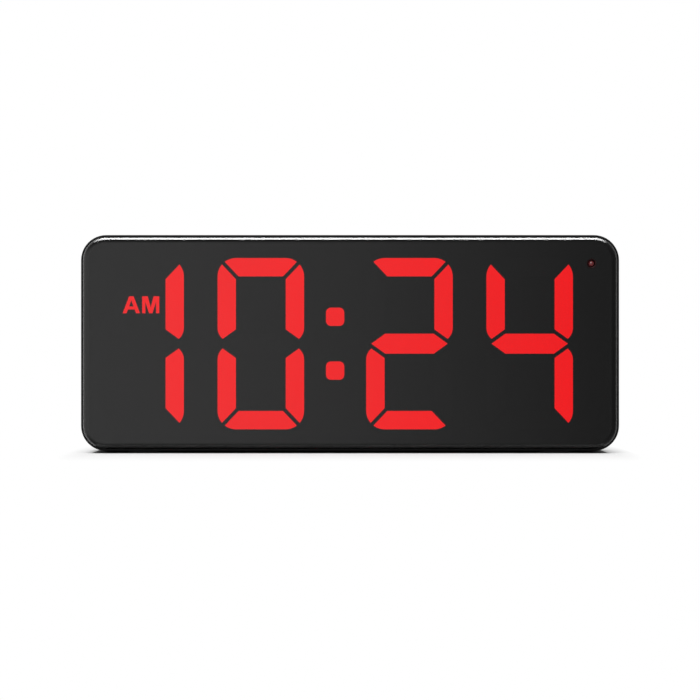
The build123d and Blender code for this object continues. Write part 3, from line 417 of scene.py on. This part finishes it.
def lathe(name, axis_x, axis_z, profile, turns=64):
    """A ring turned from a closed profile of (radius, depth) points round an axis along Y."""
    shape = bmesh.new()
    rings = []
    for turn in range(turns):
        angle = 2 * math.pi * turn / turns
        spoke = (math.cos(angle), math.sin(angle))
        rings.append([shape.verts.new((axis_x + r * spoke[0], y, axis_z + r * spoke[1])) for r, y in profile])
    for ring, following in zip(rings, rings[1:] + rings[:1]):
        for here in range(len(profile)):
            after = (here + 1) % len(profile)
            face = shape.faces.new((ring[here], ring[after], following[after], following[here]))
            face.smooth = True
    bmesh.ops.recalc_face_normals(shape, faces=shape.faces)
    mesh = bpy.data.meshes.new(name)
    shape.to_mesh(mesh)
    shape.free()
    piece = bpy.data.objects.new(name, mesh)
    scene.collection.objects.link(piece)
    return piece


# Dark red ring that lines the countersink round the sensor
# Its outline is in mm, each point a radius and a depth behind the lens's front
bezel_outline = (
    *((2.1, 0.03), (2.05, 0), (1.85, 0.12), (1.5, 0.5)),
    *((1.46, 0.62), (1.46, 2.6), (1.49, 2.6), (1.49, 0.62)),
)
lens_front_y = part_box("front_lens")[0][1]
bezel_profile = [(radius * MM, lens_front_y + depth * MM) for radius, depth in bezel_outline]
bezel = lathe("sensor_bezel", sensor_axis.x, sensor_axis.z, bezel_profile)
bezel.data.materials.append(finishes["sensor_bezel"])
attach(bezel, "case")


# Floor: plain near the clock, where it takes the shadow and a painted contact shadow, and white to the camera
# away from it
def floor_material():
    """White paper, darkened near the case by a painted contact shadow, that fades to the white surround, and
    gives way to shiny surfaces' rays.
    """
    paper_grain = 2 * MM
    painted_shade_reach = 4 * MM
    corner_lift = 5 * MM
    side_weight = 5
    fade_end = 100 * MM
    white_stops = ((0, 0), (0.5 * MM, 0.31), (60 * MM, 1))
    clear_stops = ((1 * MM, 0), (7 * MM, 1))
    material, shader = new_material("floor")
    # Ambient occlusion darkens the paper's colour within its reach of the case: a painted contact shadow
    painted_contact_shade = add_node(material, "AmbientOcclusion", samples=12)
    painted_contact_shade.inputs["Distance"].default_value = painted_shade_reach
    tint(material, noise(material, paper_grain), painted_contact_shade.inputs["Color"], grey(0.95), grey(0.98))
    link(material, painted_contact_shade.outputs["Color"], shader.inputs["Base Color"])
    shader.inputs["Roughness"].default_value = 0.9
    shader.inputs["Specular IOR Level"].default_value = 0

    # How far a point lies outside the case's foot, which ends where its rounded corners lift.
    # What it lies to the side counts by the side weight.
    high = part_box("back_cover")[1]
    place = add_node(material, "NewGeometry").outputs["Position"]
    size = add_vector(material, "ABSOLUTE", place)
    past = add_vector(material, "SUBTRACT", size, (high[0] - corner_lift, high[1], 0))
    outside = add_vector(material, "MAXIMUM", past)
    uneven = add_vector(material, "MULTIPLY", outside, (side_weight, 1, 1))
    reach = add_range(material, add_vector(material, "LENGTH", uneven), (0, fade_end))

    def fade(stops, ray_kind):
        """A share that follows the reach, for one kind of ray."""
        shares = [(distance / fade_end, level) for distance, level in stops]
        levels = add_ramp(material, reach, grey_stops(shares))
        return add_math(material, "MULTIPLY", levels, ray_kind)

    def give_way(share, first, second):
        """One shader giving way to another."""
        mix = add_node(material, "MixShader")
        for source, socket in zip((share, first, second), mix.inputs):
            link(material, source, socket)
        return mix.outputs["Shader"]

    white = add_node(material, "Emission").outputs["Emission"]
    clear = add_node(material, "BsdfTransparent").outputs["BSDF"]
    from_camera, from_shine = ray_kinds(material)
    pale = give_way(fade(white_stops, from_camera), shader.outputs["BSDF"], white)
    surface = give_way(fade(clear_stops, from_shine), pale, clear)
    link(material, surface, material.node_tree.nodes["Material Output"].inputs["Surface"])
    return material


floor_margin = 0.15
floor_x = cad_box[1][0] + floor_margin
floor_y = cad_box[1][1] + floor_margin
floor_mesh = bpy.data.meshes.new("floor")
corners = [(-floor_x, -floor_y, 0), (floor_x, -floor_y, 0), (floor_x, floor_y, 0), (-floor_x, floor_y, 0)]
floor_mesh.from_pydata(corners, [], [(0, 1, 2, 3)])
floor_mesh.materials.append(floor_material())
floor = bpy.data.objects.new("floor", floor_mesh)
scene.collection.objects.link(floor)


# World: white to the eye; for what shines, a side-lit room before the clock and a pale backdrop behind it
def build_world():
    """White to the eye, a room to glossy and clear surfaces, an even fill to all else."""
    # Levels of the room from the left to the right, as shares of the way and of white
    room_stops = (
        *((0, 1), (0.36, 1), (0.43, 0.88), (0.461, 0.81), (0.5, 0.66)),
        *((0.526, 0.51), (0.565, 0.31), (0.7, 0.24), (1, 0.2)),
    )
    ceiling = 0.3
    ceiling_span = (0.1, 0.75)
    underfoot = 0.6
    underfoot_span = (-0.98, -0.88)
    backdrop_left = 1.0
    backdrop_right = 0.5
    backdrop_span = (0.0, 0.3)
    behind_span = (0.0, 0.12)
    fill = 0.5
    world = bpy.data.worlds.new("studio")
    world.use_nodes = True
    world.node_tree.nodes.clear()

    def step(source, span):
        """A smooth step from 0 to 1 as a source crosses a span."""
        return add_range(world, source, span, interpolation_type="SMOOTHSTEP")

    def blend(share, first, second):
        """One colour giving way to another; each is an output or a plain level."""
        mix = add_node(world, "Mix", data_type="RGBA")
        link(world, share, mix.inputs["Factor"])
        for socket, value in ((mix.inputs["A"], first), (mix.inputs["B"], second)):
            if isinstance(value, float):
                socket.default_value = (*grey(value), 1)
            else:
                link(world, value, socket)
        return mix.outputs["Result"]

    towards = add_node(world, "SeparateXYZ")
    link(world, add_node(world, "TexCoord").outputs["Generated"], towards.inputs["Vector"])
    across, back, up = (towards.outputs[axis] for axis in "XYZ")
    room = add_ramp(world, add_range(world, across, (-1, 1)), grey_stops(room_stops))
    front = blend(step(add_math(world, "ABSOLUTE", up), ceiling_span), room, ceiling)
    before = blend(step(up, underfoot_span), underfoot, front)
    behind = blend(step(across, backdrop_span), backdrop_left, backdrop_right)
    around = blend(step(back, behind_span), before, behind)
    from_camera, from_shine = ray_kinds(world)
    seen = blend(from_camera, blend(from_shine, fill, around), 1.0)
    sky = add_node(world, "Background")
    link(world, seen, sky.inputs["Color"])
    link(world, sky.outputs["Background"], add_node(world, "OutputWorld").inputs["Surface"])
    return world


scene.world = build_world()


# Lamps
def area_lamp(name, place, target, size, power):
    """A rectangular soft lamp that faces a target."""
    lamp = bpy.data.lights.new(name, "AREA")
    lamp.shape = "RECTANGLE"
    lamp.size, lamp.size_y = size
    lamp.energy = power
    holder = bpy.data.objects.new(name, lamp)
    holder.location = place
    holder.rotation_euler = (Vector(target) - Vector(place)).to_track_quat("-Z", "Y").to_euler()
    scene.collection.objects.link(holder)
    return holder


def light_group(lamp, name, piece, state):
    """Let a lamp light one piece alone (INCLUDE), or all but that piece (EXCLUDE)."""
    group = bpy.data.collections.new(name)
    group.objects.link(piece)
    group.collection_objects[0].light_linking.link_state = state
    lamp.light_linking.receiver_collection = group


# Key lamp from above, on the left and in front, which the lens doesn't catch
middle = (Vector(cad_box[0]) + Vector(cad_box[1])) / 2
key = area_lamp("key", place=(-0.25, -0.35, 1.1), target=middle, size=(1.0, 0.8), power=7.0)
key.visible_transmission = False
light_group(key, "all_but_lens", nodes["front_lens"], "EXCLUDE")

# Strip above the clock that only the lens's polished edge shows, fading towards its ends
strip_y = 0.03
strip_stops = ((0.02, 0), (0.3, 1), (0.7, 1), (0.98, 0))
strip = area_lamp("edge_strip", place=(0, strip_y, 0.7), target=(0, strip_y, 0), size=(1.3, 0.46), power=35.7)
strip.data.use_nodes = True
strip_place = add_node(strip.data, "SeparateXYZ")
link(strip.data, add_node(strip.data, "NewGeometry").outputs["Parametric"], strip_place.inputs["Vector"])
strip_fade = add_ramp(strip.data, strip_place.outputs["X"], grey_stops(strip_stops))
link(strip.data, strip_fade, strip.data.node_tree.nodes["Emission"].inputs["Color"])
strip.visible_camera = False
strip.visible_diffuse = False
strip.visible_transmission = False
light_group(strip, "lens_only", nodes["front_lens"], "INCLUDE")

# Small lamp that gives the sensor's dome its glint
glint = area_lamp("sensor_glint", place=(-0.02, -0.57, 0.64), target=sensor_axis, size=(0.4, 0.4), power=6.0)
glint.visible_diffuse = False
light_group(glint, "sensor_only", nodes["light_sensor"], "INCLUDE")

# Camera: level and square to the face
camera_distance = 0.85
view_width = 0.3122
eye_height = 45.93 * MM
eye_x = -0.02 * MM
rim_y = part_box("front_frame")[0][1]
camera_data = bpy.data.cameras.new("camera")
camera_data.sensor_width = 36
camera_data.lens = camera_data.sensor_width * camera_distance / view_width
camera = bpy.data.objects.new("camera", camera_data)
camera.location = (eye_x, rim_y - camera_distance, eye_height)
camera.rotation_euler = (math.radians(90), 0, 0)
scene.collection.objects.link(camera)
scene.camera = camera
scene.view_settings.view_transform = "Standard"
